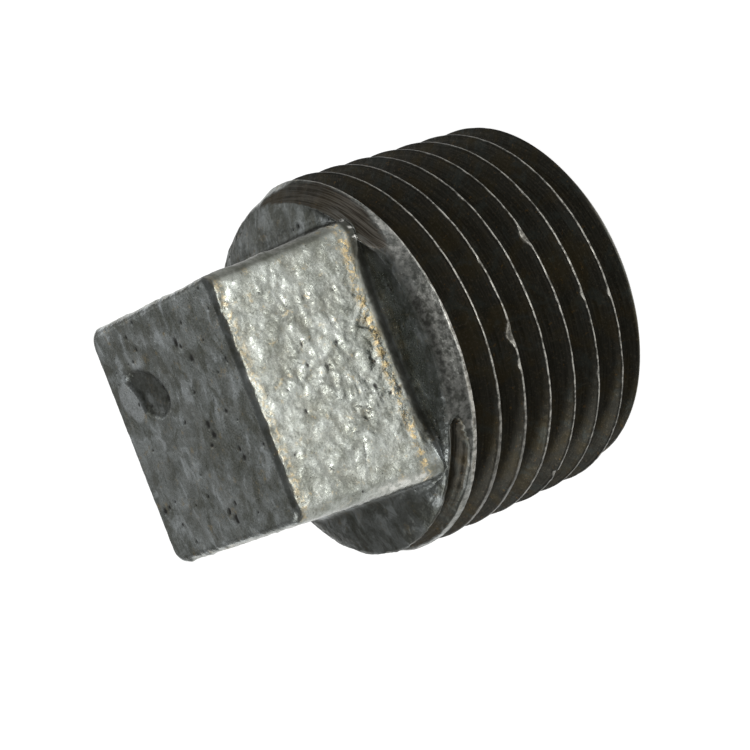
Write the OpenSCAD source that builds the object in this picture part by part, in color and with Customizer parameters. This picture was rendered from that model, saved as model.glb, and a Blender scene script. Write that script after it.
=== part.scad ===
// Square-head pipe plug, 1/2-14 NPT, one malleable-iron casting with a cut taper thread.
// Frame: Z is the thread axis. The insertion end stands on Z = 0 and the square head points to +Z.

/* [Thread] */
// Threads per inch
threads_per_inch = 14; // [11.5:0.5:18]
// Diameter over the crests at the insertion end
crest_d = 20.76; // [20:0.02:22]
// Width of the flat left on each crest
crest_flat = 0.15; // [0.06:0.01:0.3]
// Width of the flat at the bottom of the groove
root_flat = 0.08; // [0.04:0.01:0.2]
// Drop from the rim of the shoulder to the first crest, on the +X side
crest_drop = 1.06; // [0.6:0.02:1.8]
// Chamfer at the insertion end, across and along
end_chamfer = 0.5; // [0.1:0.05:1.4]
// Angle round from +X where the last groove stops short of the shoulder
groove_stop_a = -24; // [-90:1:90]

/* [Shank] */
// Length from the insertion end to the rim of the shoulder
shank_l = 13.92; // [12:0.02:18]
// Diameter of the rim of the shoulder
shoulder_d = 20.12; // [19:0.02:20.4]
// Height of the bevel from the rim down to the thread
shoulder_bevel_h = 0.82; // [0.5:0.02:1]
// Rise of the domed shoulder from its rim to the head
shoulder_rise = 0.4; // [0.1:0.05:0.8]

/* [Square head] */
// Width across the flats at the height of the rim
head_base_w = 14.6; // [13.8:0.02:14.8]
// Width across the flats at the tip
head_tip_w = 13.6; // [11:0.02:13.8]
// Height of the head above the rim
head_h = 9.33; // [7:0.01:12]
// Radius of the four upright corners
head_corner_r = 0.9; // [0.5:0.1:2]
// Rounding of the edge round the end face
head_edge_r = 0.35; // [0.2:0.05:0.8]
// Radius of the fillet where the head meets the shoulder
head_fillet = 0.55; // [0.3:0.05:0.7]
// Length along X of the shallow oval mark in the end face
mark_l = 4.1; // [2:0.1:5]
// Width along Y of the mark
mark_w = 2.4; // [1:0.1:4]
// Depth of the mark
mark_depth = 0.25; // [0.1:0.05:0.5]
// Distance of the mark from the middle of the end face, along X
mark_x = -2.9; // [-4:0.1:4]
// Distance of the mark from the middle of the end face, along Y
mark_y = 2.3; // [-4:0.1:4]

/* [Core] */
// Diameter of the cored hollow just inside its mouth
core_mouth_d = 12.4; // [8:0.1:13]
// Diameter of the hollow where its roof begins to round
core_roof_d = 11; // [8:0.1:12]
// Depth of the hollow
core_depth = 12.5; // [8:0.5:14]
// Radius between the wall of the hollow and its roof
core_roof_r = 2.4; // [1:0.1:3.5]
// Bevel of the mouth
core_mouth_bevel = 0.6; // [0.3:0.1:1.2]

/* [Hidden] */

zinc_colour = [0.55, 0.57, 0.58];
pitch = 25.4 / threads_per_inch;
half_thread_angle = 30;
radius_taper = 1 / 32;              // 1 in 16 on the diameter
thread_h = (pitch - crest_flat - root_flat) / 2 / tan(half_thread_angle);
total_l = shank_l + head_h;
foot_z = shank_l + shoulder_rise;
sliver = 0.01;

// Radius of the cone over the crests at a height
function crest_r(z) = crest_d / 2 + z * radius_taper;

// Half the head's width at a height, along its drafted flats
function head_half_w(z) =
    (head_base_w + (head_tip_w - head_base_w) * (z - shank_l) / head_h) / 2;

// --- Helical groove --------------------------------------------------------
steps_per_turn = 72;
overcut = 0.08;                     // how far the cutter stands outside the crests
groove_z_at_x = shank_l - crest_drop + pitch / 2;
// The cutter starts far enough below the insertion end to clear it
cutter_turns = groove_z_at_x / pitch + groove_stop_a / 360 + 0.62;
cutter_steps = ceil(cutter_turns * steps_per_turn);

// Four corners of the groove's section, radius and height
function groove_section(z) =
    let (r_root = crest_r(z) - thread_h, r_out = crest_r(z) + overcut,
         out_half = root_flat / 2 + (r_out - r_root) * tan(half_thread_angle))
    [[r_root, z - root_flat / 2], [r_out, z - out_half],
     [r_out, z + out_half], [r_root, z + root_flat / 2]];

function groove_ring(i) =
    let (a = groove_stop_a - 360 * (cutter_steps - i) / steps_per_turn,
         z = groove_z_at_x + pitch * a / 360)
    [for (p = groove_section(z)) [p[0] * cos(a), p[0] * sin(a), p[1]]];

module groove_cutter() {
    corners = 4;
    points = [for (i = [0 : cutter_steps]) each groove_ring(i)];
    walls = [for (i = [0 : cutter_steps - 1], c = [0 : corners - 1])
        let (a = i * corners + c, b = i * corners + (c + 1) % corners)
        each [[a, b, b + corners], [a, b + corners, a + corners]]];
    last = cutter_steps * corners;
    polyhedron(points, concat([[3, 2, 1, 0]], walls, [[last, last + 1, last + 2, last + 3]]));
}

// --- Shank and shoulder ----------------------------------------------------
module threaded_shank() {
    bevel_z = shank_l - shoulder_bevel_h;
    difference() {
        rotate_extrude($fn = 144) polygon([
            [0, 0],
            [crest_r(0) - end_chamfer, 0],
            [crest_r(end_chamfer), end_chamfer],
            [crest_r(bevel_z), bevel_z],
            [shoulder_d / 2, shank_l],
            [head_half_w(foot_z) + head_fillet, foot_z],
            [0, foot_z]]);
        groove_cutter();
    }
}

// --- Square head -----------------------------------------------------------
// One thin layer of the head: a square with round corners
module head_layer(half_w, z, corner_r) {
    reach = half_w - corner_r;
    for (x = [-1, 1], y = [-1, 1])
        translate([x * reach, y * reach, z]) cylinder(r = corner_r, h = sliver, $fn = 32);
}

// The rounding of the edge after an angle: what it takes off the side and off the height
module head_edge_layer(angle) {
    z = total_l - head_edge_r * (1 - sin(angle)) - sliver;
    inset = head_edge_r * (1 - cos(angle));
    head_layer(head_half_w(total_l) - inset, z, head_corner_r - inset);
}

module head_block() {
    hull() {
        head_layer(head_half_w(shank_l), shank_l, head_corner_r);
        for (angle = [0 : 30 : 90]) head_edge_layer(angle);
    }
}

// The foot of the head spreads past the flats by out, and its corners keep their reach
corner_growth = sqrt(2) / (sqrt(2) - 1);
module head_foot_layer(out, z) {
    head_layer(head_half_w(z) + out, z - sliver, head_corner_r + corner_growth * out);
}

// Hollow fillet round the foot of the head, as a stack of sloping bands
module head_fillet_band(angle, next_angle) {
    hull() for (a = [angle, next_angle])
        head_foot_layer(head_fillet * (1 - cos(a)), foot_z + head_fillet * (1 - sin(a)));
}

module square_head() {
    difference() {
        union() {
            head_block();
            for (angle = [0 : 30 : 60]) head_fillet_band(angle, angle + 30);
            hull() for (z = [shank_l - 0.2, foot_z]) head_foot_layer(head_fillet, z);
        }
        end_mark();
    }
}

// Shallow oval mark in the end face
module end_mark() {
    ball_r = (pow(mark_w / 2, 2) + pow(mark_depth, 2)) / (2 * mark_depth);
    translate([mark_x, mark_y, total_l - mark_depth + ball_r])
        scale([mark_l / mark_w, 1, 1]) sphere(r = ball_r, $fn = 64);
}

// --- Cored hollow ----------------------------------------------------------
module core() {
    wall_top = core_depth - core_roof_r;
    rotate_extrude($fn = 96) polygon([
        [0, -1],
        [core_mouth_d / 2 + core_mouth_bevel + 1, -1],
        [core_mouth_d / 2, core_mouth_bevel],
        [core_roof_d / 2, wall_top],
        for (angle = [30 : 30 : 90])
            [core_roof_d / 2 - core_roof_r * (1 - cos(angle)), wall_top + core_roof_r * sin(angle)],
        [0, core_depth]]);
}

module plug_body() {
    color(zinc_colour)
    difference() {
        union() {
            threaded_shank();
            square_head();
        }
        core();
    }
}

plug_body();
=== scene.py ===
"""Square-head pipe plug: one galvanised malleable-iron casting with a cut taper thread.

The visual model is one closed skin on the CAD's axes. It is computed in millimetres and becomes metres in
the mesh. Columns run round the thread axis. Rows run along the body: out of the hollow, across the insertion
end, along the helix, over the shoulder, up the square head and over its end face.
"""

import math

import bpy
import numpy as np
from mathutils import Matrix, Vector


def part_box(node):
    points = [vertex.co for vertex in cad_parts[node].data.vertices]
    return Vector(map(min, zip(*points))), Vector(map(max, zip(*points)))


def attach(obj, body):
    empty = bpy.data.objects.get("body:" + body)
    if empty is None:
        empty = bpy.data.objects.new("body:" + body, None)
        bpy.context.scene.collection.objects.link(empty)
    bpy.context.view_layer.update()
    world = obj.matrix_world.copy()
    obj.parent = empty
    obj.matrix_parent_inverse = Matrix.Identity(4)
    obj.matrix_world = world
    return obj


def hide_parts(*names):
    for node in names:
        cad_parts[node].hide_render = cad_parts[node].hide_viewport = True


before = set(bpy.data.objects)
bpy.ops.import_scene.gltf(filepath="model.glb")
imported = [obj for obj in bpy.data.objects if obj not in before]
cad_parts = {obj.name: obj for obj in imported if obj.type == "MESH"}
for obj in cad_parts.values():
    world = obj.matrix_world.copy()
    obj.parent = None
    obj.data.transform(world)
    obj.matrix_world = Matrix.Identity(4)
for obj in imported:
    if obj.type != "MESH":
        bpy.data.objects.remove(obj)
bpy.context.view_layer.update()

# --- Sizes, in millimetres ---------------------------------------------------
MM = 0.001
NODE = "plug_body"
BODY = "root"
END_Z, TOP_Z = (corner[2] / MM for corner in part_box(NODE))

PITCH = 25.4 / 14
TAPER = 1 / 32
CREST_R = 10.38
CREST_FLAT = 0.08
ROOT_FLAT = 0.08
FLANK_TAN = math.tan(math.radians(30))
THREAD_H = (PITCH - CREST_FLAT - ROOT_FLAT) / 2 / FLANK_TAN
END_CHAMFER = 0.5
FIRST_CREST_Z = 12.857          # height of the first crest below the shoulder, on the +X side

RIM_Z = 13.92
SHOULDER_RISE = 0.42
RISE_GAPS = (-0.6, 2.9)         # room between head and rim with none of that rise, and with all of it
SHOULDER_BULGE = 1.7            # how round the shoulder is from the rim to the head
FOOT_FILLET = 0.55
# The fillet takes this share of the room between head and rim, and is never smaller than this
FILLET_SHARE, FILLET_LEAST = 0.42, 0.10
CORNER_R = 0.85
EDGE_R = 0.42
EDGE_ROOM = 0.02                # left below the top for the end face's own lumps
# The casting's flats, as (-X, +X, -Y, +Y): they aren't quite square to the thread axis
FOOT_FLATS = (-7.30, 7.26, -7.22, 7.27)
TIP_FLATS = (-6.95, 6.72, -6.68, 6.86)

CORE_MOUTH_R = 6.2
CORE_ROOF_R = 5.5
CORE_BEVEL = 0.6
CORE_DEPTH = 12.5
CORE_ROUND = 2.4

COLUMNS = 640
SIDE = COLUMNS // 4
# Rows of points along the body
ROOF_ROUND_ROWS, WALL_ROWS, MOUTH_ROWS, END_ROWS = 14, 43, 6, 13
SHOULDER_ROWS, FLAT_ROWS, EDGE_ROWS = 25, 91, 8
# Rows across one turn of thread, in turns from the crest: over the crest, and down each flank
CREST_STEPS = np.array([-0.050, -0.032, -0.018, 0, 0.018, 0.032, 0.050])
FLANK_STEPS = np.linspace(0.075, 0.455, 11)
# The turns that these rows are laid over, and how near to the end or the rim a row becomes part of it
TURNS = range(-9, 3)
NEAR_END, NEAR_RIM = 0.02, 0.012
SEED = 7


# --- Numbers -----------------------------------------------------------------
def smooth(lo, hi, x):
    t = np.clip((x - lo) / (hi - lo), 0, 1)
    return t * t * (3 - 2 * t)


def soft(x, width):
    """x where it's positive and nothing where it's negative, with a round corner."""
    return 0.5 * (x + np.sqrt(x * x + width * width))


def least(a, b, width):
    """The smaller of two, with a round corner where they meet."""
    return a - soft(a - b, width)


class Noise:
    """Smooth gradient noise in space, which the gain brings to about -1 to 1."""

    GAIN = 1.6

    def __init__(self, seed):
        rng = np.random.default_rng(seed)
        self.order = rng.permutation(256)
        way = rng.normal(size=(256, 3))
        self.way = way / np.linalg.norm(way, axis=1, keepdims=True)

    def __call__(self, points, scale=1.0):
        p = np.asarray(points) * scale
        cell = np.floor(p).astype(int)
        f = p - cell
        fade = f * f * f * (f * (f * 6 - 15) + 10)
        total = 0
        for corner in np.ndindex(2, 2, 2):
            c = np.array(corner)
            index = cell + c
            h = self.order[index[..., 0] & 255]
            h = self.order[(h + index[..., 1]) & 255]
            h = self.order[(h + index[..., 2]) & 255]
            weight = np.prod(np.where(c == 1, fade, 1 - fade), axis=-1)
            total = total + weight * np.sum(self.way[h] * (f - c), axis=-1)
        return total * self.GAIN

    def layers(self, points, scale, octaves):
        return sum(self(points, scale * 2**k + k) * 0.5**k for k in range(octaves))


noise_a, noise_b, noise_c = (Noise(SEED + k) for k in range(3))


def by_angle(table, phi):
    degrees, values = zip(*sorted(table.items()))
    return np.interp(np.degrees(phi), degrees, values, period=360)


def round_the_axis(radius, phi, z):
    z = np.broadcast_to(z, np.shape(radius))
    return np.stack([radius * np.cos(phi), radius * np.sin(phi), z], axis=-1)


# --- Thread and shoulder rim ---------------------------------------------------
phi = -np.pi + 2 * np.pi * np.arange(COLUMNS) / COLUMNS

# Stretches round the axis are four angles in degrees: nothing at the first and the last, full between the
# middle two. Tables are values by angle in degrees.
# The die stopped short of the shoulder here, and the casting's own rim is left
UNCUT = (-28, -25, 20, 38)
# The groove ends bluntly there: the middle and half-width of its end in turns, and how far it rounds back
GROOVE_END, GROOVE_END_HALF, GROOVE_END_ROUND = 0.48, 0.24, 8
# The die ran up out of the cast rim here and left it half cut
RUN_UP = (16, 34, 62, 84)
# A wedge of the rim is left whole beside the first crest: its angles, and its width in turns at the first
WEDGE, WEDGE_WIDTH, WEDGE_FADE = (21, 47), 0.50, 0.09
# The radius at which the run-up ends on the shoulder
CUT_EDGE_R = {18: 10.7, 23: 10.44, 29.5: 9.96, 38.8: 9.45, 46.7: 9.59, 53: 9.68}

# The cast blank at the rim: its radius, its slope downwards, and the depth where it widens
BLANK_R = {-180: 10.25, -150: 10.50, -120: 10.60, -100: 10.58, -80: 10.52, -62: 10.48, -45: 10.24,
           -28: 10.06, 55: 10.06, 105: 10.03, 135: 10.04, 165: 10.10}
BLANK_SLOPE = {-180: 0.5, -150: 0.2, -120: 0.1, -100: 0.0, -80: 0.0, -62: 0.08, -45: 0.42,
               -28: 0.68, 45: 0.73, 60: 1.0, 75: 1.0, 90: 0.62, 105: 0.1, 165: 0.1}
BLANK_DEPTH = {-180: 1.3, -120: 1.5, -80: 1.7, -28: 1.5, 60: 1.5, 105: 1.2, 165: 1.1}
BLANK_WIDENING = 2.5
BLANK_LUMPS = 0.05
RIM_ROUND = 0.30

# The groove next to the shoulder: how much shallower it is, and the depth of the ledge beside its crest
SHALLOW = {-180: 0.0, -130: 0.0, -100: 0.06, -75: 0.16, -50: 0.27, -28: 0.32, 25: 0.10, 45: 0.0}
LEDGE = {-110: 0.0, -75: 0.14, -50: 0.26, -28: 0.30, 25: 0.1, 40: 0.0}
# Along this stretch it has two fine steps in its flank: their places and half-width in turns, their height
STEPPED = (-150, -90, -27, -26)
STEP_PLACES, STEP_HALF, STEP_HEIGHT = (0.16, 0.29), 0.022, 0.11
# It is drier and lighter where it runs in
DRY_GROOVE = {-180: 0.15, -90: 0.04, -60: 0.06, -30: 0.12, 15: 0.5, 30: 0.85, 45: 0.75, 60: 0.40,
              75: 0.22, 100: 0.10}

CREST_ROUND, ROOT_ROUND = 0.025, 0.05
# The crests wander along the axis by these shares of a turn, and the die leaves marks on the flanks
WANDER, SHAKE = 0.011, 0.009
DIE_MARKS = 0.016
# Wear of the crests: everywhere, and at most in long and in short patches
WEAR, LONG_WEAR, SHORT_WEAR = 0.006, 0.018, 0.02
# Knocks that flatten a crest: angle, turns below the first crest, depth, half-length
KNOCKS = ((17, 4, 0.17, 0.50), (-8.8, 2, 0.30, 0.50), (-18, 2, 0.10, 0.22), (-66, 4, 0.16, 0.22),
          (14, 2, 0.06, 0.20), (36, 3, 0.05, 0.25), (30, 5, 0.05, 0.15), (-5.5, 5, 0.06, 0.25),
          (-30, 5, 0.07, 0.25), (-8, 6, 0.07, 0.20), (118, 4, 0.10, 0.40), (160, 2, 0.12, 0.50),
          (-140, 3, 0.10, 0.40), (-105, 5, 0.09, 0.35), (-165, 6, 0.10, 0.30))
# The blank was off centre, so the crests nearest the shoulder are blunt round one angle: how far, and over
# how many crests
BLUNT_AT, BLUNT_SPREAD, BLUNT_DEPTH, BLUNT_CRESTS = -58, 27, 0.24, 4.5
# How much bare metal the crests show by angle: partly wear, and partly a painted highlight that is strongest
# on the +X side
CREST_WEAR_AND_HIGHLIGHT = {-180: 0.5, -110: 0.45, -60: 0.6, -25: 1.0, 30: 1.0, 50: 0.5, 75: 0.04, 110: 0.0, 150: 0.3}


def crest_z(phi):
    return FIRST_CREST_Z + PITCH * phi / (2 * np.pi)


def between(stretch, degrees):
    """One on a stretch round the axis and nothing outside it."""
    start, full, fading, end = stretch
    return smooth(start, full, degrees) * (1 - smooth(fading, end, degrees))


def groove_depth(phi, at_crest, turn, across):
    """How far below the crest the die cut."""
    depth = soft((across * PITCH - CREST_FLAT / 2) / FLANK_TAN, CREST_ROUND)
    depth = THREAD_H - soft(THREAD_H - depth, ROOT_ROUND)
    marks = [at_crest[..., 0] * 0.25, at_crest[..., 1] * 0.25, across * 34 + np.sign(turn) * 9]
    depth = depth + DIE_MARKS * noise_a(np.stack(marks, axis=-1)) * smooth(0.03, 0.10, across)
    next_to_shoulder = turn > 0
    for place in STEP_PLACES:
        step = np.exp(-(((across - place) / STEP_HALF) ** 2)) * next_to_shoulder
        depth = depth - STEP_HEIGHT * between(STEPPED, np.degrees(phi)) * step
    shallow = by_angle(SHALLOW, phi) * smooth(0.0, 0.12, turn)
    ledge = by_angle(LEDGE, phi) * next_to_shoulder * (1 - smooth(0.13, 0.26, turn))
    return soft(depth - (shallow + ledge), 0.02)


def rim_wedge(degrees, turn, at_crest):
    """One on the wedge of cast rim beside the first crest."""
    width = np.interp(degrees + 3 * noise_b(at_crest, 1.6), WEDGE, (WEDGE_WIDTH, 0)) * (degrees > 0)
    return smooth(0, WEDGE_FADE, width - turn) * (turn > 0)


def uncut_rim(degrees, turn):
    """One where the die didn't reach the rim."""
    rounded = GROOVE_END_ROUND * np.clip((turn - GROOVE_END) / GROOVE_END_HALF, -1, 1) ** 2
    return between(UNCUT, degrees + rounded * (degrees < 0)) * (turn > 0)


def crest_wear(degrees, turn, along_crest):
    """How far the crests are worn down or were never full."""
    wear = WEAR + LONG_WEAR * np.clip(0.5 + noise_b(along_crest, 0.7), 0, 1)
    wear = wear + SHORT_WEAR * np.clip(noise_b(along_crest, 2.7), 0, 1)
    blunt = BLUNT_DEPTH * np.exp(-(((degrees - BLUNT_AT) / BLUNT_SPREAD) ** 2))
    return wear + blunt * np.clip(1 + (np.round(turn) - 0.5) / BLUNT_CRESTS, 0, 1) * (turn < -0.5)


def crest_knocks(degrees, turn, crest):
    """How deep the crests are knocked in."""
    knock = np.zeros_like(crest)
    for angle, below, deep, half_length in KNOCKS:
        away = (np.mod(degrees - angle + 180, 360) - 180) * np.pi / 180 * crest
        knock += deep * np.exp(-((away / half_length) ** 2)) * (np.abs(turn + below) < 0.5)
    return knock


def cast_blank(phi, z, at_crest):
    """The radius of the casting before the thread was cut, with its edge at the shoulder rounded."""
    down = RIM_Z - z
    blank = by_angle(BLANK_R, phi) + by_angle(BLANK_SLOPE, phi) * down
    blank = blank + BLANK_WIDENING * soft(down - by_angle(BLANK_DEPTH, phi), 0.15)
    blank = blank + BLANK_LUMPS * noise_c(at_crest, 0.8)
    near = np.clip(RIM_ROUND - down, 0, RIM_ROUND)
    return blank - RIM_ROUND + np.sqrt(RIM_ROUND**2 - near**2)


def outer_surface(phi, z):
    """The thread and the rim of the shoulder as a radius, with what the materials need to know."""
    degrees = np.degrees(phi)
    crest = CREST_R + TAPER * z
    at_crest = round_the_axis(crest, phi, z)
    turn = (z - crest_z(phi)) / PITCH
    along_crest = np.stack([at_crest[..., 0], at_crest[..., 1], np.round(turn) * 7], axis=-1)
    turn = turn + WANDER * noise_a(along_crest, 0.9) + SHAKE * noise_c(along_crest, 2.6)
    across = np.abs(turn - np.round(turn))

    wedge = rim_wedge(degrees, turn, at_crest)
    uncut = np.maximum(uncut_rim(degrees, turn), wedge)
    thread = crest - groove_depth(phi, at_crest, turn, across) * (1 - uncut)
    wear = crest_wear(degrees, turn, along_crest)
    knock = crest_knocks(degrees, turn, crest)
    limit = crest - wear - knock
    blank = cast_blank(phi, z, at_crest)
    cut = least(thread, limit, 0.012)
    radius = least(cut, blank, 0.02)
    radius = least(radius, CREST_R - END_CHAMFER + (z - END_Z), 0.03)

    run_up = between(RUN_UP, degrees) * (turn > 0) * smooth(0.05, 0.25, RIM_Z - z)
    cast = smooth(-0.03, 0.03, cut - blank) * (1 - 0.75 * run_up * (1 - wedge))
    # Bare metal where the crests are worn, with a painted highlight that changes by angle
    worn_and_glint = smooth(-0.030, 0.0, thread - limit) * (1 - 0.6 * cast) * by_angle(CREST_WEAR_AND_HIGHLIGHT, phi)
    worn_and_glint = worn_and_glint * (1 - 0.5 * smooth(0.1, 0.25, knock)) * (1 - 0.6 * smooth(0.03, 0.12, wear))
    # Painted glints on the wedge of cast rim beside the first crest
    worn_and_glint = np.maximum(worn_and_glint, 0.90 * wedge * smooth(18, 24, degrees))
    dry = by_angle(DRY_GROOVE, phi) * smooth(-0.45, 0.05, turn)
    return radius, dict(cast=cast, worn_and_glint=worn_and_glint, across=across, dry=dry)


# --- The skin under construction -------------------------------------------------
class Skin:
    """Points and faces of one mesh, with a value per point for each name."""

    NAMES = ("cast", "worn_and_glint", "across", "dry", "lump")

    def __init__(self):
        self.points, self.count = [], 0
        self.values = {name: [] for name in self.NAMES}
        self.quads, self.triangles = [], []

    def add(self, points, **values):
        """Adds points of shape (..., 3) and returns their numbers."""
        shape = points.shape[:-1]
        amount = int(np.prod(shape))
        self.points.append(points.reshape(-1, 3))
        for name in self.NAMES:
            value = np.broadcast_to(values.get(name, 0.0), shape)
            self.values[name].append(value.reshape(-1).astype(float))
        numbers = np.arange(self.count, self.count + amount).reshape(shape)
        self.count += amount
        return numbers

    def band(self, lower, upper):
        """Quads between two closed rings of the same length."""
        a, b = lower, np.roll(lower, -1)
        c, d = np.roll(upper, -1), upper
        self.quads.append(np.stack([a, b, c, d], axis=-1))

    def rings(self, rows):
        for lower, upper in zip(rows[:-1], rows[1:]):
            self.band(lower, upper)

    def doubled(self, few, many):
        """Triangles from a ring to one with twice its points, the fuller ring above."""
        start, middle, end = many[0::2], many[1::2], np.roll(many[0::2], -1)
        here, after = few, np.roll(few, -1)
        self.triangles += [np.stack(t, axis=-1) for t in
                           ((here, middle, start), (here, after, middle), (after, end, middle))]

    def mesh(self, name):
        points = np.concatenate(self.points)
        quads, triangles = (np.concatenate(faces) for faces in (self.quads, self.triangles))
        corners = np.concatenate([quads.ravel(), triangles.ravel()])
        sizes = np.concatenate([np.full(len(quads), 4), np.full(len(triangles), 3)])
        mesh = bpy.data.meshes.new(name)
        mesh.vertices.add(len(points))
        mesh.vertices.foreach_set("co", (points * MM).ravel())
        mesh.loops.add(len(corners))
        mesh.loops.foreach_set("vertex_index", corners.astype(np.int32))
        mesh.polygons.add(len(sizes))
        mesh.polygons.foreach_set("loop_start", (np.cumsum(sizes) - sizes).astype(np.int32))
        mesh.polygons.foreach_set("use_smooth", np.ones(len(sizes), dtype=bool))
        mesh.update(calc_edges=True)
        return mesh, points


skin = Skin()


def disc_rows(radii, heights, columns):
    """Rings round the axis with these radii and heights."""
    angle = -np.pi + 2 * np.pi * np.arange(columns) / columns
    radii, heights = np.array(radii)[:, None], np.array(heights)[:, None]
    return round_the_axis(radii * np.ones(columns), angle, heights)


# --- Hollow and insertion end ------------------------------------------------------
def build_hollow():
    """The cored hollow, from the middle of its roof to its mouth. Returns the mouth's ring."""
    wall_top = CORE_DEPTH - CORE_ROUND
    sharp = CORE_ROOF_R - CORE_ROUND
    middle = skin.add(np.array([0, 0, CORE_DEPTH]), cast=1, lump=1)
    inner = skin.add(disc_rows(np.linspace(0.35, 1.4, 4), [CORE_DEPTH] * 4, COLUMNS // 16), cast=1, lump=1)
    first = inner[0]
    skin.triangles.append(np.stack([np.full_like(first, middle), np.roll(first, -1), first][::-1], axis=-1))
    skin.rings(inner)
    outer = skin.add(disc_rows(np.linspace(1.55, sharp, 7), [CORE_DEPTH] * 7, COLUMNS // 8), cast=1, lump=1)
    skin.doubled(inner[-1], outer[0])
    skin.rings(outer)
    turn = np.radians(np.linspace(6, 90, ROOF_ROUND_ROWS))
    wall_r = np.linspace(CORE_ROOF_R, CORE_MOUTH_R, WALL_ROWS + 1)[1:]
    wall_z = np.linspace(wall_top, CORE_BEVEL, WALL_ROWS + 1)[1:]
    radii = np.concatenate([sharp + CORE_ROUND * np.sin(turn), wall_r])
    heights = np.concatenate([wall_top + CORE_ROUND * np.cos(turn), wall_z])
    wall = skin.add(disc_rows(radii, heights, COLUMNS // 4), cast=1, lump=1)
    skin.doubled(outer[-1], wall[0])
    skin.rings(wall)
    turn = np.radians(np.linspace(8, 82, MOUTH_ROWS))
    mouth_r = CORE_MOUTH_R + CORE_BEVEL * (1 - np.cos(turn))
    mouth_z = CORE_BEVEL * (1 - np.sin(turn))
    mouth = skin.add(disc_rows(mouth_r, mouth_z, COLUMNS // 2), cast=1, lump=0.5)
    skin.doubled(wall[-1], mouth[0])
    skin.rings(mouth)
    return mouth[-1]


def build_end_face(mouth, edge_points, edge):
    share = np.linspace(0, 1, END_ROWS + 1)[:-1, None, None]
    start = disc_rows([CORE_MOUTH_R + CORE_BEVEL], [END_Z], COLUMNS)
    rows = skin.add(start + (edge_points - start) * share, cast=1, lump=0.0)
    skin.doubled(mouth, rows[0])
    skin.rings(rows)
    skin.band(rows[-1], edge)


# --- Thread ----------------------------------------------------------------------
def build_thread():
    """Rows follow the helix, so that each crest is a clean line. Returns the lowest and highest rings."""
    steps = np.concatenate([[-0.5, -0.485], -FLANK_STEPS[::-1], CREST_STEPS, FLANK_STEPS, [0.485]])
    turns = np.concatenate([steps + k for k in TURNS])
    height = crest_z(phi)[None, :] + turns[:, None] * PITCH
    below, above = height < END_Z + NEAR_END, height > RIM_Z - NEAR_RIM
    inside = ~(below | above)

    rims = []
    for level in (END_Z, RIM_Z):
        radius, values = outer_surface(phi, np.full(COLUMNS, level))
        points = round_the_axis(radius, phi, level)
        rims.append((skin.add(points, lump=values["cast"], **values), points))
    (lowest, low_points), (highest, high_points) = rims

    angle = np.broadcast_to(phi, height.shape)[inside]
    radius, values = outer_surface(angle, height[inside])
    number = np.empty(height.shape, dtype=int)
    number[inside] = skin.add(round_the_axis(radius, angle, height[inside]), lump=values["cast"], **values)
    number = np.where(below, lowest, np.where(above, highest, number))

    after = np.roll(number, -1, axis=1)
    after[:, -1] = highest[0]
    after[:-len(steps), -1] = number[len(steps):, 0]
    a, b, c, d = (x.ravel() for x in (number[:-1], after[:-1], after[1:], number[1:]))
    whole = (a != d) & (b != c)
    skin.quads.append(np.stack([a, b, c, d], axis=-1)[whole])
    skin.triangles.append(np.stack([a, b, c], axis=-1)[(a == d) & (b != c)])
    skin.triangles.append(np.stack([a, b, d], axis=-1)[(a != d) & (b == c)])
    return lowest, low_points, highest, high_points


# --- Shoulder and square head --------------------------------------------------------
def head_outline(z, edge_inset=0.0):
    """The head's rounded square at a height, as points and outward directions for every column."""
    z = np.broadcast_to(z, (COLUMNS,))
    share = np.clip((z - RIM_Z) / (TOP_Z - RIM_Z), 0, 1)[:, None]
    x0, x1, y0, y1 = (np.array(FOOT_FLATS) + (np.array(TIP_FLATS) - np.array(FOOT_FLATS)) * share).T
    middle = np.stack([(x0 + x1) / 2, (y0 + y1) / 2], axis=-1)
    half_x, half_y = (x1 - x0) / 2 - edge_inset, (y1 - y0) / 2 - edge_inset
    corner = CORNER_R - 0.6 * edge_inset

    place = (np.arange(COLUMNS) + SIDE // 2) / SIDE
    side = place.astype(int) % 4
    outward = np.array([[-1, 0], [0, -1], [1, 0], [0, 1]])[side]
    along = np.stack([-outward[:, 1], outward[:, 0]], axis=-1)
    reach = np.where(side % 2 == 0, half_x, half_y)
    straight = np.where(side % 2 == 0, half_y, half_x) - corner
    run = (place % 1 - 0.5) * (2 * straight + np.pi / 2 * corner)
    turn = np.clip((np.abs(run) - straight) / corner, 0, None)
    sideways = np.sign(run) * np.where(turn > 0, straight + corner * np.sin(turn), np.abs(run))
    inset = corner * (1 - np.cos(turn))
    points = middle + outward * (reach - inset)[:, None] + along * sideways[:, None]
    facing = outward * np.cos(turn)[:, None] + along * (np.sign(run) * np.sin(turn))[:, None]
    return points, facing


def upright(points, z):
    return np.concatenate([points, np.broadcast_to(z, points.shape[:-1])[..., None]], axis=-1)


def build_shoulder(rim, rim_points):
    """From the rim to the head's flats. Returns the last ring and the height it reaches, by column."""
    outline, facing = head_outline(RIM_Z + SHOULDER_RISE + FOOT_FILLET)
    rim_xy = rim_points[:, :2]
    gap = np.sum((rim_xy - outline) * facing, axis=-1)
    fillet = np.clip(FILLET_SHARE * gap, FILLET_LEAST, FOOT_FILLET)
    foot_z = RIM_Z + SHOULDER_RISE * smooth(*RISE_GAPS, gap)
    foot = outline + facing * fillet[:, None]
    rows = []
    for share in np.linspace(0, 1, SHOULDER_ROWS + 1)[1:]:
        z = RIM_Z + (foot_z - RIM_Z) * (1 - (1 - share) ** SHOULDER_BULGE)
        rows.append(upright(rim_xy + (foot - rim_xy) * share, z))
    for turn in np.radians(np.linspace(0, 90, EDGE_ROWS + 1))[1:]:
        z = foot_z + fillet * (1 - math.cos(turn))
        outline, facing = head_outline(z)
        rows.append(upright(outline + facing * (fillet * (1 - math.sin(turn)))[:, None], z))
    numbers = skin.add(np.stack(rows), cast=1, lump=1)
    skin.band(rim, numbers[0])
    skin.rings(numbers)
    return numbers[-1], foot_z + fillet


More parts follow.
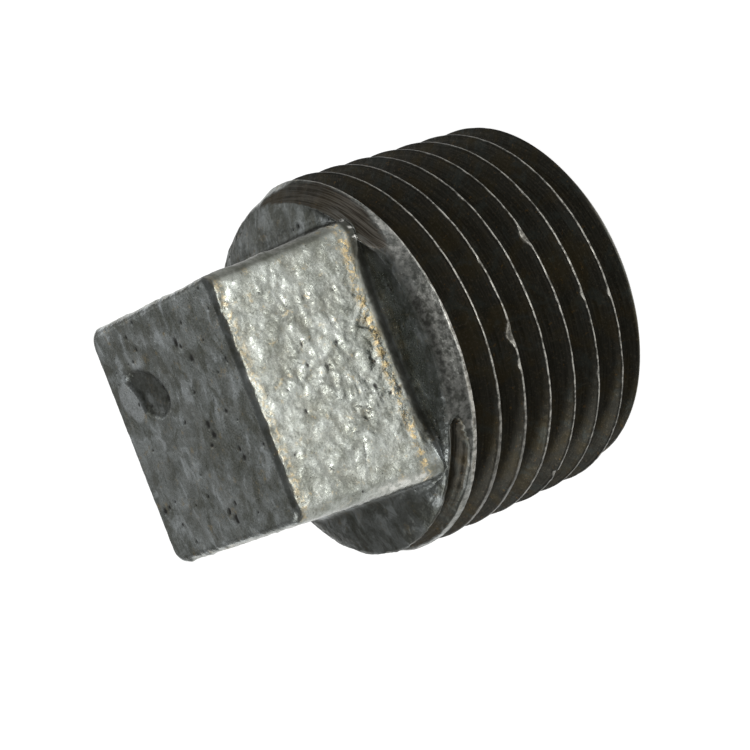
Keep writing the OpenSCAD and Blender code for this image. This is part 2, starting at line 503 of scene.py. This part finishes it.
def build_head(foot, foot_z):
    """The flats and the rounded edge. Returns the last ring, inside the rounded edge."""
    edge_z = TOP_Z - EDGE_R - EDGE_ROOM
    rows = []
    for share in np.linspace(0, 1, FLAT_ROWS + 1)[1:]:
        z = foot_z + (edge_z - foot_z) * share
        rows.append(upright(head_outline(z)[0], z))
    for turn in np.radians(np.linspace(0, 90, EDGE_ROWS + 1))[1:]:
        z = edge_z + EDGE_R * math.sin(turn)
        rows.append(upright(head_outline(z, EDGE_R * (1 - math.cos(turn)))[0], z))
    numbers = skin.add(np.stack(rows), cast=1, lump=1)
    skin.band(foot, numbers[0])
    skin.rings(numbers)
    return numbers[-1], rows[-1]


def build_end_of_head(ring, points):
    """A square grid over the end face, whose border is the head's last ring."""
    corner = SIDE // 2
    k = np.arange(SIDE + 1)
    sides = [(corner + k) % COLUMNS, (3 * corner + k) % COLUMNS,
             (7 * corner - k) % COLUMNS, (9 * corner - k) % COLUMNS]
    south, east, north, west = (points[s] for s in sides)
    u, v = (k / SIDE)[:, None, None], (k / SIDE)[None, :, None]
    grid = (south[:, None] * (1 - v) + north[:, None] * v + west[None] * (1 - u) + east[None] * u
            - south[0] * (1 - u) * (1 - v) - south[-1] * u * (1 - v)
            - north[0] * (1 - u) * v - north[-1] * u * v)
    number = np.empty((SIDE + 1, SIDE + 1), dtype=int)
    number[1:-1, 1:-1] = skin.add(grid[1:-1, 1:-1], cast=1, lump=1)
    number[:, 0], number[-1, :], number[:, -1], number[0, :] = (ring[s] for s in sides)
    faces = np.stack([number[:-1, :-1], number[1:, :-1], number[1:, 1:], number[:-1, 1:]], axis=-1)
    skin.quads.append(faces.reshape(-1, 4))


mouth = build_hollow()
lowest, low_points, highest, high_points = build_thread()
build_end_face(mouth, low_points, lowest)
foot, foot_z = build_shoulder(highest, high_points)
last_ring, last_points = build_head(foot, foot_z)
build_end_of_head(last_ring, last_points)
mesh, points = skin.mesh("plug_skin")
value = {name: np.concatenate(skin.values[name]) for name in Skin.NAMES}


# --- Cast skin: lumps of zinc, hollows and pores, moved along the surface's own directions -----
def vertex_normals():
    normals = np.empty(len(points) * 3, dtype=np.float32)
    mesh.vertex_normals.foreach_get("vector", normals)
    return normals.reshape(-1, 3).astype(float)


normal = vertex_normals()
x, y, z = points.T
from_axis = np.linalg.norm(points[:, :2], axis=1)
angle = np.arctan2(y, x)

# Each of these is one on its own part of the surface and nothing elsewhere, with a soft border
facing_up = smooth(0.5, 0.9, normal[:, 2])
upright_face = 1 - smooth(0.3, 0.7, np.abs(normal[:, 2]))
flatness = smooth(0.80, 0.995, np.abs(normal[:, :2]).max(axis=1))
in_hollow = (from_axis < CORE_MOUTH_R + 0.4) & (z < CORE_DEPTH + 0.5)
on_end = facing_up * (z > TOP_Z - 0.6)
on_flats = upright_face * smooth(RIM_Z + 0.6, RIM_Z + 1.9, z) * (0.55 + 0.45 * flatness)
on_shoulder = value["cast"] * facing_up * (z < TOP_Z - 1) * ~in_hollow

# Heights of the zinc's lumps: everywhere, on the head's flats, on everything that isn't level, and of the
# finer lumps everywhere and on the shoulder
LUMPS, FLAT_LUMPS, SIDE_LUMPS = 0.012, 0.078, 0.012
FINE_LUMPS, SHOULDER_LUMPS = 0.014, 0.022
# The diagonal along which the lumps are drawn out
LUMP_GRAIN = np.array([[1.0, 0, 0], [0, 0.80, -0.30], [0, 0.45, 0.90]])


def zinc_lumps(p):
    """Runs and lumps left by the zinc, crowded together in places."""
    across = p @ LUMP_GRAIN
    bent = across + 0.35 * np.stack([noise_b(p, 0.9), noise_c(p, 0.9), noise_a(p, 0.9)], axis=-1)
    crowd = smooth(-0.25, 0.45, noise_c(across, 0.33))
    small = 0.50 * noise_c(bent, 1.9) + 0.22 * noise_a(bent, 3.9)
    return 0.40 * noise_a(bent, 0.45) + 0.58 * noise_b(bent, 1.0) + (0.28 + 1.05 * crowd) * small


lumps = zinc_lumps(points)
height = lumps * (LUMPS + FLAT_LUMPS * on_flats + SIDE_LUMPS * (1 - facing_up) * ~in_hollow)
height = value["lump"] * (height + FINE_LUMPS * noise_b.layers(points, 2.2, 2))
height += on_shoulder * SHOULDER_LUMPS * noise_c.layers(points, 0.9, 3)

# A shallow oval mark in the end face, with a flat lump of zinc beside it: centre, half-axes, turn in degrees
MARK, MARK_DEPTH = ((-3.0, 2.55), (2.15, 1.32), -28), 0.20
LUMP, LUMP_HEIGHT = ((-5.0, 2.42), (1.35, 0.98), -54), 0.10


def oval(centre, half, tilt):
    """Less than one inside an oval on the end face."""
    away = (x - centre[0] + 1j * (y - centre[1])) * np.exp(-1j * math.radians(tilt))
    wobble = 0.10 * noise_a(points, 0.9) + 0.05 * noise_b(points, 2.6)
    return np.hypot(away.real / half[0], away.imag / half[1]) + wobble


on_lump = on_end * (1 - smooth(0.80, 1.0, oval(*LUMP)))
height -= on_end * MARK_DEPTH * (1 - smooth(0.75, 1.05, oval(*MARK))) * (1 - on_lump)
height += LUMP_HEIGHT * on_lump

# Pores: a scatter of small sharp pits, with the larger ones on the end face in lines, as (x, y, radius)
END_PITS = ((-3.1, 5.8, 0.13), (1.6, 4.4, 0.20), (1.9, 4.1, 0.13), (2.5, 3.3, 0.20), (-1.5, 1.9, 0.24),
            (-1.6, 2.6, 0.14), (1.6, -0.2, 0.22), (1.8, -0.8, 0.24), (3.8, 0.1, 0.15), (1.2, -1.3, 0.13),
            (3.7, -2.0, 0.14), (3.8, -2.5, 0.18), (-6.0, -3.7, 0.20), (-5.4, -3.6, 0.12), (0.4, -4.9, 0.13),
            (0.8, -5.4, 0.20), (-4.6, -3.4, 0.1))
SMALL_PORES, SMALL_PORE_R = 110, (0.05, 0.11)
# A fine crack in the zinc of the +X flat, from one end to the other in (y, z)
CRACK, CRACK_HALF, CRACK_SHARE = np.array([(-3.80, 18.04), (-5.22, 18.43)]), 0.05, 0.65
PIT_DEPTH = 0.07


def pores():
    """One in the middle of each pore."""
    rng = np.random.default_rng(SEED)
    ragged = 0.35 * noise_a(points, 5.0) + 0.25 * noise_b(points, 9.0)
    free = np.flatnonzero((value["cast"] > 0.9) & ~in_hollow & (z > RIM_Z - 0.5))
    places = [((px, py, TOP_Z), size) for px, py, size in END_PITS]
    places += [(centre, rng.uniform(*SMALL_PORE_R))
               for centre in points[rng.choice(free, SMALL_PORES, replace=False)]]
    pit = np.zeros(len(points))
    for centre, size in places:
        stretch = np.array([1, rng.uniform(0.5, 1), 1])
        away = np.linalg.norm((points - centre) * stretch, axis=1) / size + ragged
        pit = np.maximum(pit, np.exp(-np.clip(away, 0, None) ** 2))
    return pit


def crack():
    """Greatest along the crack."""
    start, run = CRACK[0], CRACK[1] - CRACK[0]
    along = np.clip((points[:, 1:] - start) @ run / (run @ run), 0, 1)
    away = np.linalg.norm(points[:, 1:] - start - along[:, None] * run, axis=1) + 0.05 * noise_a(points, 2.5)
    return CRACK_SHARE * np.exp(-((away / CRACK_HALF) ** 2)) * (x > 5)


pit = np.maximum(pores(), crack())
height -= PIT_DEPTH * pit * value["cast"]

moved = points + normal * height[:, None]
moved[:, 2] = np.clip(moved[:, 2], END_Z, TOP_Z)
mesh.vertices.foreach_set("co", (moved * MM).ravel())
mesh.update()

# --- What the material reads: values per point, from nothing to one ---------------------
# The line along which the +X flat meets its fillet, lower on the +Y side
foot_line = RIM_Z + 0.95 - 0.30 * smooth(3.0, 6.5, y)
# How dark the shoulder is, as dull zinc and painted shade under the head, and how dull the zinc is on the
# cast rim below it
SHOULDER_DULL_AND_SHADE = {-180: 0.3, -130: 0.6, -90: 0.65, -55: 0.5, -30: 0.0, 40: 0.05, 75: 0.38, 120: 0.3}
DULL_RIM = {-180: 0.5, -90: 0.5, -60: 0.6, -25: 0.92, 12: 0.92, 22: 0.4}
# The shoulder is scratched along the edge of the die's cut here
SCUFFED = (14, 24, 46, 60)


def stripe(where, middle, half_width):
    """One where a measure is at its middle value, and less on both sides."""
    return np.exp(-(((where - middle) / half_width) ** 2))


def stained():
    """Brown stains on the +X flat: along its foot, and fainter along its upper edge."""
    foot = stripe(z, foot_line + 0.22, 0.28) * (x > 6.5)
    upper_edge = stripe(z, TOP_Z - 0.55, 0.25) * (x > 6.2)
    return np.clip(value["cast"] * (foot + 0.45 * upper_edge), 0, 1)


def painted_fillet_shade():
    """Painted shade in the fillet at the head's foot, weaker at its -Y end."""
    fillet_shade = 1 - smooth(foot_line - 0.25, foot_line + 0.08, z)
    fillet_shade = fillet_shade * smooth(0.15, 0.6, np.linalg.norm(normal[:, :2], axis=1))
    return fillet_shade * value["cast"] * (z > RIM_Z + 0.02) * (0.25 + 0.75 * smooth(-6.6, -4.6, y))


def scratched():
    """The edge of the die's cut across the shoulder."""
    cut_edge = stripe(from_axis, by_angle(CUT_EDGE_R, angle) + 0.12, 0.30)
    return between(SCUFFED, np.degrees(angle)) * cut_edge * (np.abs(z - RIM_Z + 0.25) < 0.5)


def dulled_and_shaded():
    """Dull zinc and painted shade: matt zinc on the rim and the mark; matt zinc with painted shade under the
    head on the shoulder; painted shade on the head's upper edge on the +X side, on its +X/+Y corner and in
    the fillet at its foot.
    """
    on_rim = value["cast"] * (z < RIM_Z - 0.02) * (z > END_Z + 1)
    # Painted shade along the head's rounded upper edge on the +X side
    edge = smooth(TOP_Z - EDGE_R - 0.12, TOP_Z - EDGE_R + 0.06, z) * (1 - smooth(0.93, 0.999, normal[:, 2]))
    edge *= smooth(-0.1, 0.5, normal[:, 0])
    # Painted shade on the rounded corner between the +X and +Y flats
    corner = head_side * (1 - smooth(0.80, 0.97, normal[:, 0])) * smooth(-0.2, 0.2, y) * smooth(4.8, 6.4, x)
    in_mark = on_end * (1 - smooth(0.86, 1.02, oval(*MARK)))
    dull_and_shade = [on_shoulder * by_angle(SHOULDER_DULL_AND_SHADE, angle), on_rim * by_angle(DULL_RIM, angle),
            0.30 * edge, 0.95 * fillet_shade, 0.74 * corner, 0.62 * in_mark]
    return np.clip(np.maximum.reduce(dull_and_shade) * (1 - on_lump), 0, 1)


def painted_corner_glint():
    """A painted glint on the corner between the +X and -Y flats, low down."""
    return head_side * (1 - flatness) * (x > 0) * (y < 0) * (1 - smooth(17.0, 19.5, z))


head_side = upright_face * smooth(RIM_Z + 0.8, RIM_Z + 1.4, z)
fillet_shade = painted_fillet_shade()
paint = dict(
    cast=value["cast"], across=value["across"], dry=value["dry"],
    # Wear on the crests, with painted glints on the rim's wedge and on the +X/-Y corner
    worn_and_glint=np.maximum(value["worn_and_glint"], 0.9 * painted_corner_glint()),
    # Painted shade in the fillet goes into the pit value, along with the pores and the crack
    pit=np.maximum(pit, 0.42 * fillet_shade),
    warm=stained(),
    # Painted shade in the hollows between the zinc's lumps
    hollow=(1 - smooth(-0.55, 0.25, lumps)) * value["lump"],
    # Dull zinc, with painted shade on the shoulder, the head's upper edge and corner, and in the fillet
    dull_and_shade=dulled_and_shaded(),
    scuffed=scratched(),
    soot=1 - 0.55 * upright_face * (z > RIM_Z + 0.8),
    pale=on_lump)
for name, numbers in paint.items():
    mesh.attributes.new(name, "FLOAT", "POINT").data.foreach_set("value", numbers.astype(np.float32))


# --- Materials ---------------------------------------------------------------------
# Zinc: its dark and light patches, then what is laid over them
ZINC = (0.215, 0.232, 0.215, 1), (0.40, 0.43, 0.42, 1)
SOOT, BLOOM = (0.12, 0.125, 0.095, 1), (0.68, 0.73, 0.74, 1)
DARK_GRAIN, PALE_GRAIN = (0.10, 0.10, 0.085, 1), (0.70, 0.72, 0.69, 1)
# The painted shade for the lumps' hollows, and the colour of pores
HOLLOW_SHADE, PORE = (0.20, 0.20, 0.17, 1), (0.025, 0.024, 0.020, 1)
STAIN, PALE_LUMP = (0.52, 0.40, 0.21, 1), (0.66, 0.70, 0.71, 1)
# The tint for dull zinc, which also darkens the places where shade is painted
UPRIGHT_TINT, DULL_AND_SHADE_TINT = (0.87, 0.85, 0.80, 1), (0.17, 0.165, 0.14, 1)
# Bare zinc, which is also the colour of painted glints
RUBBED_ZINC_AND_GLINT = (0.62, 0.62, 0.58, 1)
# Cut iron, and what is laid over it
IRON = (0.045, 0.043, 0.034, 1), (0.078, 0.075, 0.061, 1)
BROWN_OIL, COLD_OIL = (0.090, 0.072, 0.036, 1), (0.080, 0.092, 0.084, 1)
IRON_GRAIN, RUST = (0.17, 0.15, 0.11, 1), (0.24, 0.15, 0.055, 1)
DRY_IRON = (0.13, 0.11, 0.085, 1), (0.42, 0.38, 0.32, 1)
# Painted shade on the crests
PAINTED_CREST_SHADE = (0.35, 0.35, 0.35, 1)
# Bare iron on worn crests, which is also their painted highlight
RUBBED_IRON_AND_GLINT = (0.40, 0.39, 0.35, 1)

BUMP_STRENGTH, BUMP_DISTANCE = 0.8, 0.00006


class Nodes:
    """A short way to write a node tree."""

    def __init__(self, tree):
        self.tree = tree
        self.tree.nodes.clear()

    def add(self, kind, inputs=(), out=0, **settings):
        """Adds a node, links or sets its inputs, and returns one of its outputs."""
        node = self.tree.nodes.new(kind)
        for key, setting in settings.items():
            setattr(node, key, setting)
        for key, given in dict(inputs).items():
            socket = node.inputs[key]
            if isinstance(given, bpy.types.NodeSocket):
                self.tree.links.new(given, socket)
            else:
                socket.default_value = given
        return node.outputs[out] if node.outputs else node

    def maths(self, operation, a, b=0.0, clamp=False):
        return self.add("ShaderNodeMath", {0: a, 1: b}, operation=operation, use_clamp=clamp)

    def mix(self, share, a, b, blend_type="MIX"):
        """Two colours. The node's colour sockets are inputs 6 and 7 and output 2."""
        return self.add("ShaderNodeMix", {0: share, 6: a, 7: b}, out=2,
                        data_type="RGBA", blend_type=blend_type)

    def times(self, share, a, b):
        return self.mix(share, a, b, "MULTIPLY")

    def blend(self, share, a, b):
        """Two numbers."""
        return self.add("ShaderNodeMix", {0: share, 2: a, 3: b}, data_type="FLOAT")

    def step(self, given, lo, hi, to_lo=0.0, to_hi=1.0):
        return self.add("ShaderNodeMapRange", {0: given, 1: lo, 2: hi, 3: to_lo, 4: to_hi},
                        interpolation_type="SMOOTHSTEP")

    def noise(self, vector, scale, detail=2.0, roughness=0.5, distortion=0.0):
        return self.add("ShaderNodeTexNoise", {"Vector": vector, "Scale": scale, "Detail": detail,
                                               "Roughness": roughness, "Distortion": distortion})

    def attribute(self, name):
        return self.add("ShaderNodeAttribute", out="Fac", attribute_name=name)

    def scaled(self, vector, scale):
        return self.add("ShaderNodeVectorMath", {0: vector, 1: scale}, operation="MULTIPLY")


def die_lines(n, mm, across):
    """Fine lines along the thread."""
    place = n.add("ShaderNodeSeparateXYZ", {0: mm}).node.outputs
    place = n.add("ShaderNodeCombineXYZ", {0: n.maths("MULTIPLY", place["X"], 0.35),
                                           1: n.maths("MULTIPLY", place["Y"], 0.35),
                                           2: n.maths("MULTIPLY", across, 40.0)})
    return n.noise(place, 1.0, 3.0, 0.6)


def rubbed_metal_and_glints(n, mm, share):
    """Bare metal on crests ground down by wear, in beads, with painted glints and a painted highlight by
    angle, and in the scratches across the cut shoulder.
    """
    beads = n.step(n.noise(mm, 2.6, 3.0, 0.7), 0.38, 0.62, 0.18, 1.0)
    along = n.add("ShaderNodeVectorRotate", {"Vector": mm, "Angle": math.radians(44)}, rotation_type="Z_AXIS")
    scratch = n.step(n.noise(n.scaled(along, (0.35, 9.0, 1.0)), 1.0, 2.0, 0.6), 0.50, 0.62)
    return n.maths("MAXIMUM", n.maths("MULTIPLY", share["worn_and_glint"], beads),
                   n.maths("MULTIPLY", scratch, share["scuffed"]))


def zinc_colour(n, mm, share, field, dark):
    """Mottled grey, with painted shade in the hollows between its lumps, darker where the zinc is matt and
    where shade is painted, with brown stains, and dark pores that also carry the fillet's painted shade.
    """
    streak = n.noise(n.scaled(mm, (1.0, 0.6, 0.8)), 1.0, 6.0, 0.66, 0.5)
    zinc = n.mix(n.step(field["patch"], 0.36, 0.64), *ZINC)
    zinc = n.mix(n.maths("MULTIPLY", n.step(streak, 0.50, 0.62, 0.0, 0.68), share["soot"]), zinc, SOOT)
    zinc = n.mix(n.maths("MULTIPLY", n.step(streak, 0.47, 0.36, 0.0, 0.68), share["soot"]), zinc, BLOOM)
    zinc = n.mix(n.step(field["grain"], 0.52, 0.76, 0.0, 0.26), zinc, PALE_GRAIN)
    zinc = n.mix(n.step(field["grain"], 0.46, 0.32, 0.0, 0.34), zinc, DARK_GRAIN)
    # Painted shade in the hollows between the lumps
    zinc = n.mix(n.maths("MULTIPLY", share["hollow"], 0.36), zinc, HOLLOW_SHADE)
    zinc = n.times(n.step(share["soot"], 1.0, 0.45), zinc, UPRIGHT_TINT)
    stain = n.maths("MULTIPLY", share["warm"], n.step(field["freckle"], 0.46, 0.60), clamp=True)
    freckle = n.maths("MULTIPLY", n.step(n.noise(mm, 1.3, 5.0, 0.75), 0.57, 0.70), 0.45)
    zinc = n.mix(n.maths("MAXIMUM", stain, freckle), zinc, STAIN)
    pale = n.maths("MULTIPLY", share["pale"], n.step(field["grain"], 0.3, 0.6, 0.35, 0.65))
    zinc = n.mix(pale, zinc, PALE_LUMP)
    # Darker where the zinc is dull and where shade is painted
    zinc = n.times(share["dull_and_shade"], zinc, DULL_AND_SHADE_TINT)
    return n.mix(dark, zinc, PORE)


def iron_colour(n, mm, share, field):
    """Dark oiled iron with the die's lines in it, drier next to the shoulder, with painted shade on its
    crests.
    """
    oil = n.noise(mm, 0.5, 4.0, 0.6, 0.5)
    iron = n.mix(n.step(field["lines"], 0.35, 0.7), *IRON)
    iron = n.mix(n.step(oil, 0.45, 0.62, 0.0, 0.5), iron, BROWN_OIL)
    iron = n.mix(n.step(field["patch"], 0.48, 0.36, 0.0, 0.6), iron, COLD_OIL)
    iron = n.mix(n.step(field["grain"], 0.53, 0.70, 0.0, 0.55), iron, IRON_GRAIN)
    iron = n.mix(n.step(field["freckle"], 0.62, 0.70, 0.0, 0.6), iron, RUST)
    dry = n.mix(n.step(field["lines"], 0.4, 0.62), *DRY_IRON)
    iron = n.mix(n.maths("MULTIPLY", share["dry"], 0.85), iron, dry)
    # Painted shade on the crests
    return n.times(n.step(share["across"], 0.07, 0.03, 0.0, 0.9), iron, PAINTED_CREST_SHADE)


def galvanised_iron():
    material = bpy.data.materials.new("galvanised_iron")
    material.use_nodes = True
    n = Nodes(material.node_tree)
    mm = n.scaled(n.add("ShaderNodeTexCoord", out="Object"), [1 / MM] * 3)
    share = {name: n.attribute(name) for name in paint}
    field = dict(patch=n.noise(mm, 0.75, 5.0, 0.68, 0.5), grain=n.noise(mm, 7.5, 3.0, 0.65),
                 freckle=n.noise(mm, 3.4, 4.0, 0.7), fine=n.noise(mm, 3.4, 3.0, 0.55),
                 lines=die_lines(n, mm, share["across"]))
    cast = share["cast"]

    cells = n.add("ShaderNodeTexVoronoi", {"Vector": mm, "Scale": 2.3})
    pinholes = n.maths("MULTIPLY", n.step(cells, 0.09, 0.04), n.step(field["patch"], 0.55, 0.45))
    dark = n.maths("MAXIMUM", pinholes, n.step(share["pit"], 0.25, 0.8), clamp=True)
    # Bare metal where worn or scratched, with painted glints and highlights
    rubbed_and_glint = rubbed_metal_and_glints(n, mm, share)
    iron = n.mix(rubbed_and_glint, iron_colour(n, mm, share, field), RUBBED_IRON_AND_GLINT)
    zinc = n.mix(rubbed_and_glint, zinc_colour(n, mm, share, field, dark), RUBBED_ZINC_AND_GLINT)
    metallic = n.blend(cast, 0.85, n.blend(dark, 0.92, 0.1))

    zinc_rough = n.blend(n.step(field["grain"], 0.3, 0.7), 0.33, 0.21)
    zinc_rough = n.blend(n.maths("MAXIMUM", dark, n.maths("MULTIPLY", share["dull_and_shade"], 0.5)), zinc_rough, 0.62)
    iron_rough = n.blend(rubbed_and_glint, n.step(field["lines"], 0.3, 0.7, 0.36, 0.50), 0.30)

    zinc_height = n.maths("MULTIPLY", field["fine"], n.step(share["soot"], 1.0, 0.45, 0.75, 1.0))
    zinc_height = n.maths("SUBTRACT", zinc_height, n.maths("MULTIPLY", pinholes, 0.8))
    iron_height = n.maths("ADD", n.maths("MULTIPLY", field["lines"], 0.10),
                          n.maths("MULTIPLY", field["fine"], 0.25))
    bump = n.add("ShaderNodeBump", {"Strength": BUMP_STRENGTH, "Distance": BUMP_DISTANCE,
                                    "Height": n.blend(cast, iron_height, zinc_height)})

    surface = n.add("ShaderNodeBsdfPrincipled", {
        "Base Color": n.mix(cast, iron, zinc), "Metallic": metallic,
        "Roughness": n.blend(cast, iron_rough, zinc_rough), "Normal": bump})
    n.add("ShaderNodeOutputMaterial", {"Surface": surface})
    return material


plug = bpy.data.objects.new("square_head_plug", mesh)
bpy.context.scene.collection.objects.link(plug)
mesh.materials.append(galvanised_iron())
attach(plug, BODY)
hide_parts(NODE)


# --- Floor and light ------------------------------------------------------------------
FLOOR_HALF = 3.0
FLOOR_COLOUR, FLOOR_GLOW = (0.6, 0.6, 0.6, 1), 0.92
# The sky's level at the horizon, and from this height up
SKY_LEVEL, SKY_TOP, SKY_TOP_LEVEL = 0.27, 0.6, 0.16
# Soft lamps: azimuth and elevation in degrees, distance and size in metres, power in watts
LAMPS = dict(
    front_low=(8, 6, 0.30, (0.16, 0.03), 0.29),          # glints on the lumps of the +X flat
    flank_soft=(-121, 48, 0.40, (0.16, 0.16), 0.22),     # the flanks of the crests on the -Y side
    back_fill=(178, 36, 0.45, (0.25, 0.25), 0.035),      # the head's end face
    back_side=(150, 36, 0.45, (0.22, 0.22), 0.07),       # the shoulder on the +Y side
    side_glint=(76, 25, 0.35, (0.08, 0.08), 0.03))       # the wedge of cast rim
# The spot that lights a patch of floor in front of the +X flat, which reflects it
POOL_PLACE, POOL_TARGET = (0.30, 0.0, 0.26), (0.088, 0, 0)
POOL_POWER, POOL_ANGLE, POOL_BLEND, POOL_LAMP_R = 22.0, 10, 0.7, 0.02


def direction(azimuth, elevation):
    a, e = math.radians(azimuth), math.radians(elevation)
    return Vector((math.cos(a) * math.cos(e), math.sin(a) * math.cos(e), math.sin(e)))


def floor():
    sheet = bpy.data.meshes.new("floor")
    signs = ((-1, -1), (1, -1), (1, 1), (-1, 1))
    sheet.from_pydata([(a * FLOOR_HALF, b * FLOOR_HALF, END_Z * MM) for a, b in signs], [], [(0, 1, 2, 3)])
    ob = bpy.data.objects.new("floor", sheet)
    bpy.context.scene.collection.objects.link(ob)
    material = bpy.data.materials.new("pale_floor")
    material.use_nodes = True
    n = Nodes(material.node_tree)
    surface = n.add("ShaderNodeBsdfPrincipled", {
        "Base Color": FLOOR_COLOUR, "Roughness": 0.9, "Specular IOR Level": 0.1,
        "Emission Color": (1, 1, 1, 1), "Emission Strength": FLOOR_GLOW})
    n.add("ShaderNodeOutputMaterial", {"Surface": surface})
    sheet.materials.append(material)


def light(name, kind, place, target):
    """A lamp at a place, turned towards its target. Returns its settings."""
    data = bpy.data.lights.new(name, kind)
    ob = bpy.data.objects.new(name, data)
    bpy.context.scene.collection.objects.link(ob)
    ob.location = place
    ob.rotation_euler = (place - target).to_track_quat("Z", "Y").to_euler()
    return data


def lamps():
    middle = Vector((0, 0, (END_Z + TOP_Z) / 2 * MM))
    for name, (azimuth, elevation, distance, size, power) in LAMPS.items():
        data = light(name, "AREA", middle + direction(azimuth, elevation) * distance, middle)
        data.shape, data.size, data.size_y, data.energy = "RECTANGLE", *size, power


def pool():
    data = light("floor_pool", "SPOT", Vector(POOL_PLACE), Vector(POOL_TARGET))
    data.energy, data.spot_size, data.spot_blend = POOL_POWER, math.radians(POOL_ANGLE), POOL_BLEND
    data.shadow_soft_size = POOL_LAMP_R


def sky():
    world = bpy.data.worlds.new("studio")
    bpy.context.scene.world = world
    world.use_nodes = True
    n = Nodes(world.node_tree)
    up = n.add("ShaderNodeSeparateXYZ", {0: n.add("ShaderNodeTexCoord")}, out="Z")
    level = n.step(up, 0.0, SKY_TOP, SKY_LEVEL, SKY_TOP_LEVEL)
    glow = n.add("ShaderNodeBackground", {"Color": level, "Strength": 1.0})
    n.add("ShaderNodeOutputWorld", {"Surface": glow})


# --- Camera: where the photograph was taken from, in the part's own frame ---------------
CAMERA = dict(aim=(0.0, -0.94, 11.15), distance=163.94, azimuth=-0.384, elevation=34.07, roll=-111.16,
              lens=142.9)


def camera():
    aim = Vector(CAMERA["aim"]) * MM
    back = direction(CAMERA["azimuth"], CAMERA["elevation"])
    right = Vector((0, 0, 1)).cross(back).normalized()
    turned = Matrix((right, back.cross(right), back)).transposed()
    turned = turned @ Matrix.Rotation(math.radians(CAMERA["roll"]), 3, "Z")
    data = bpy.data.cameras.new("camera")
    data.lens, data.sensor_width, data.clip_start = CAMERA["lens"], 36, 0.01
    ob = bpy.data.objects.new("camera", data)
    ob.matrix_world = Matrix.Translation(aim + back * CAMERA["distance"] * MM) @ turned.to_4x4()
    bpy.context.scene.collection.objects.link(ob)
    bpy.context.scene.camera = ob


floor()
sky()
lamps()
pool()
camera()
bpy.context.scene.view_settings.view_transform = "Standard"
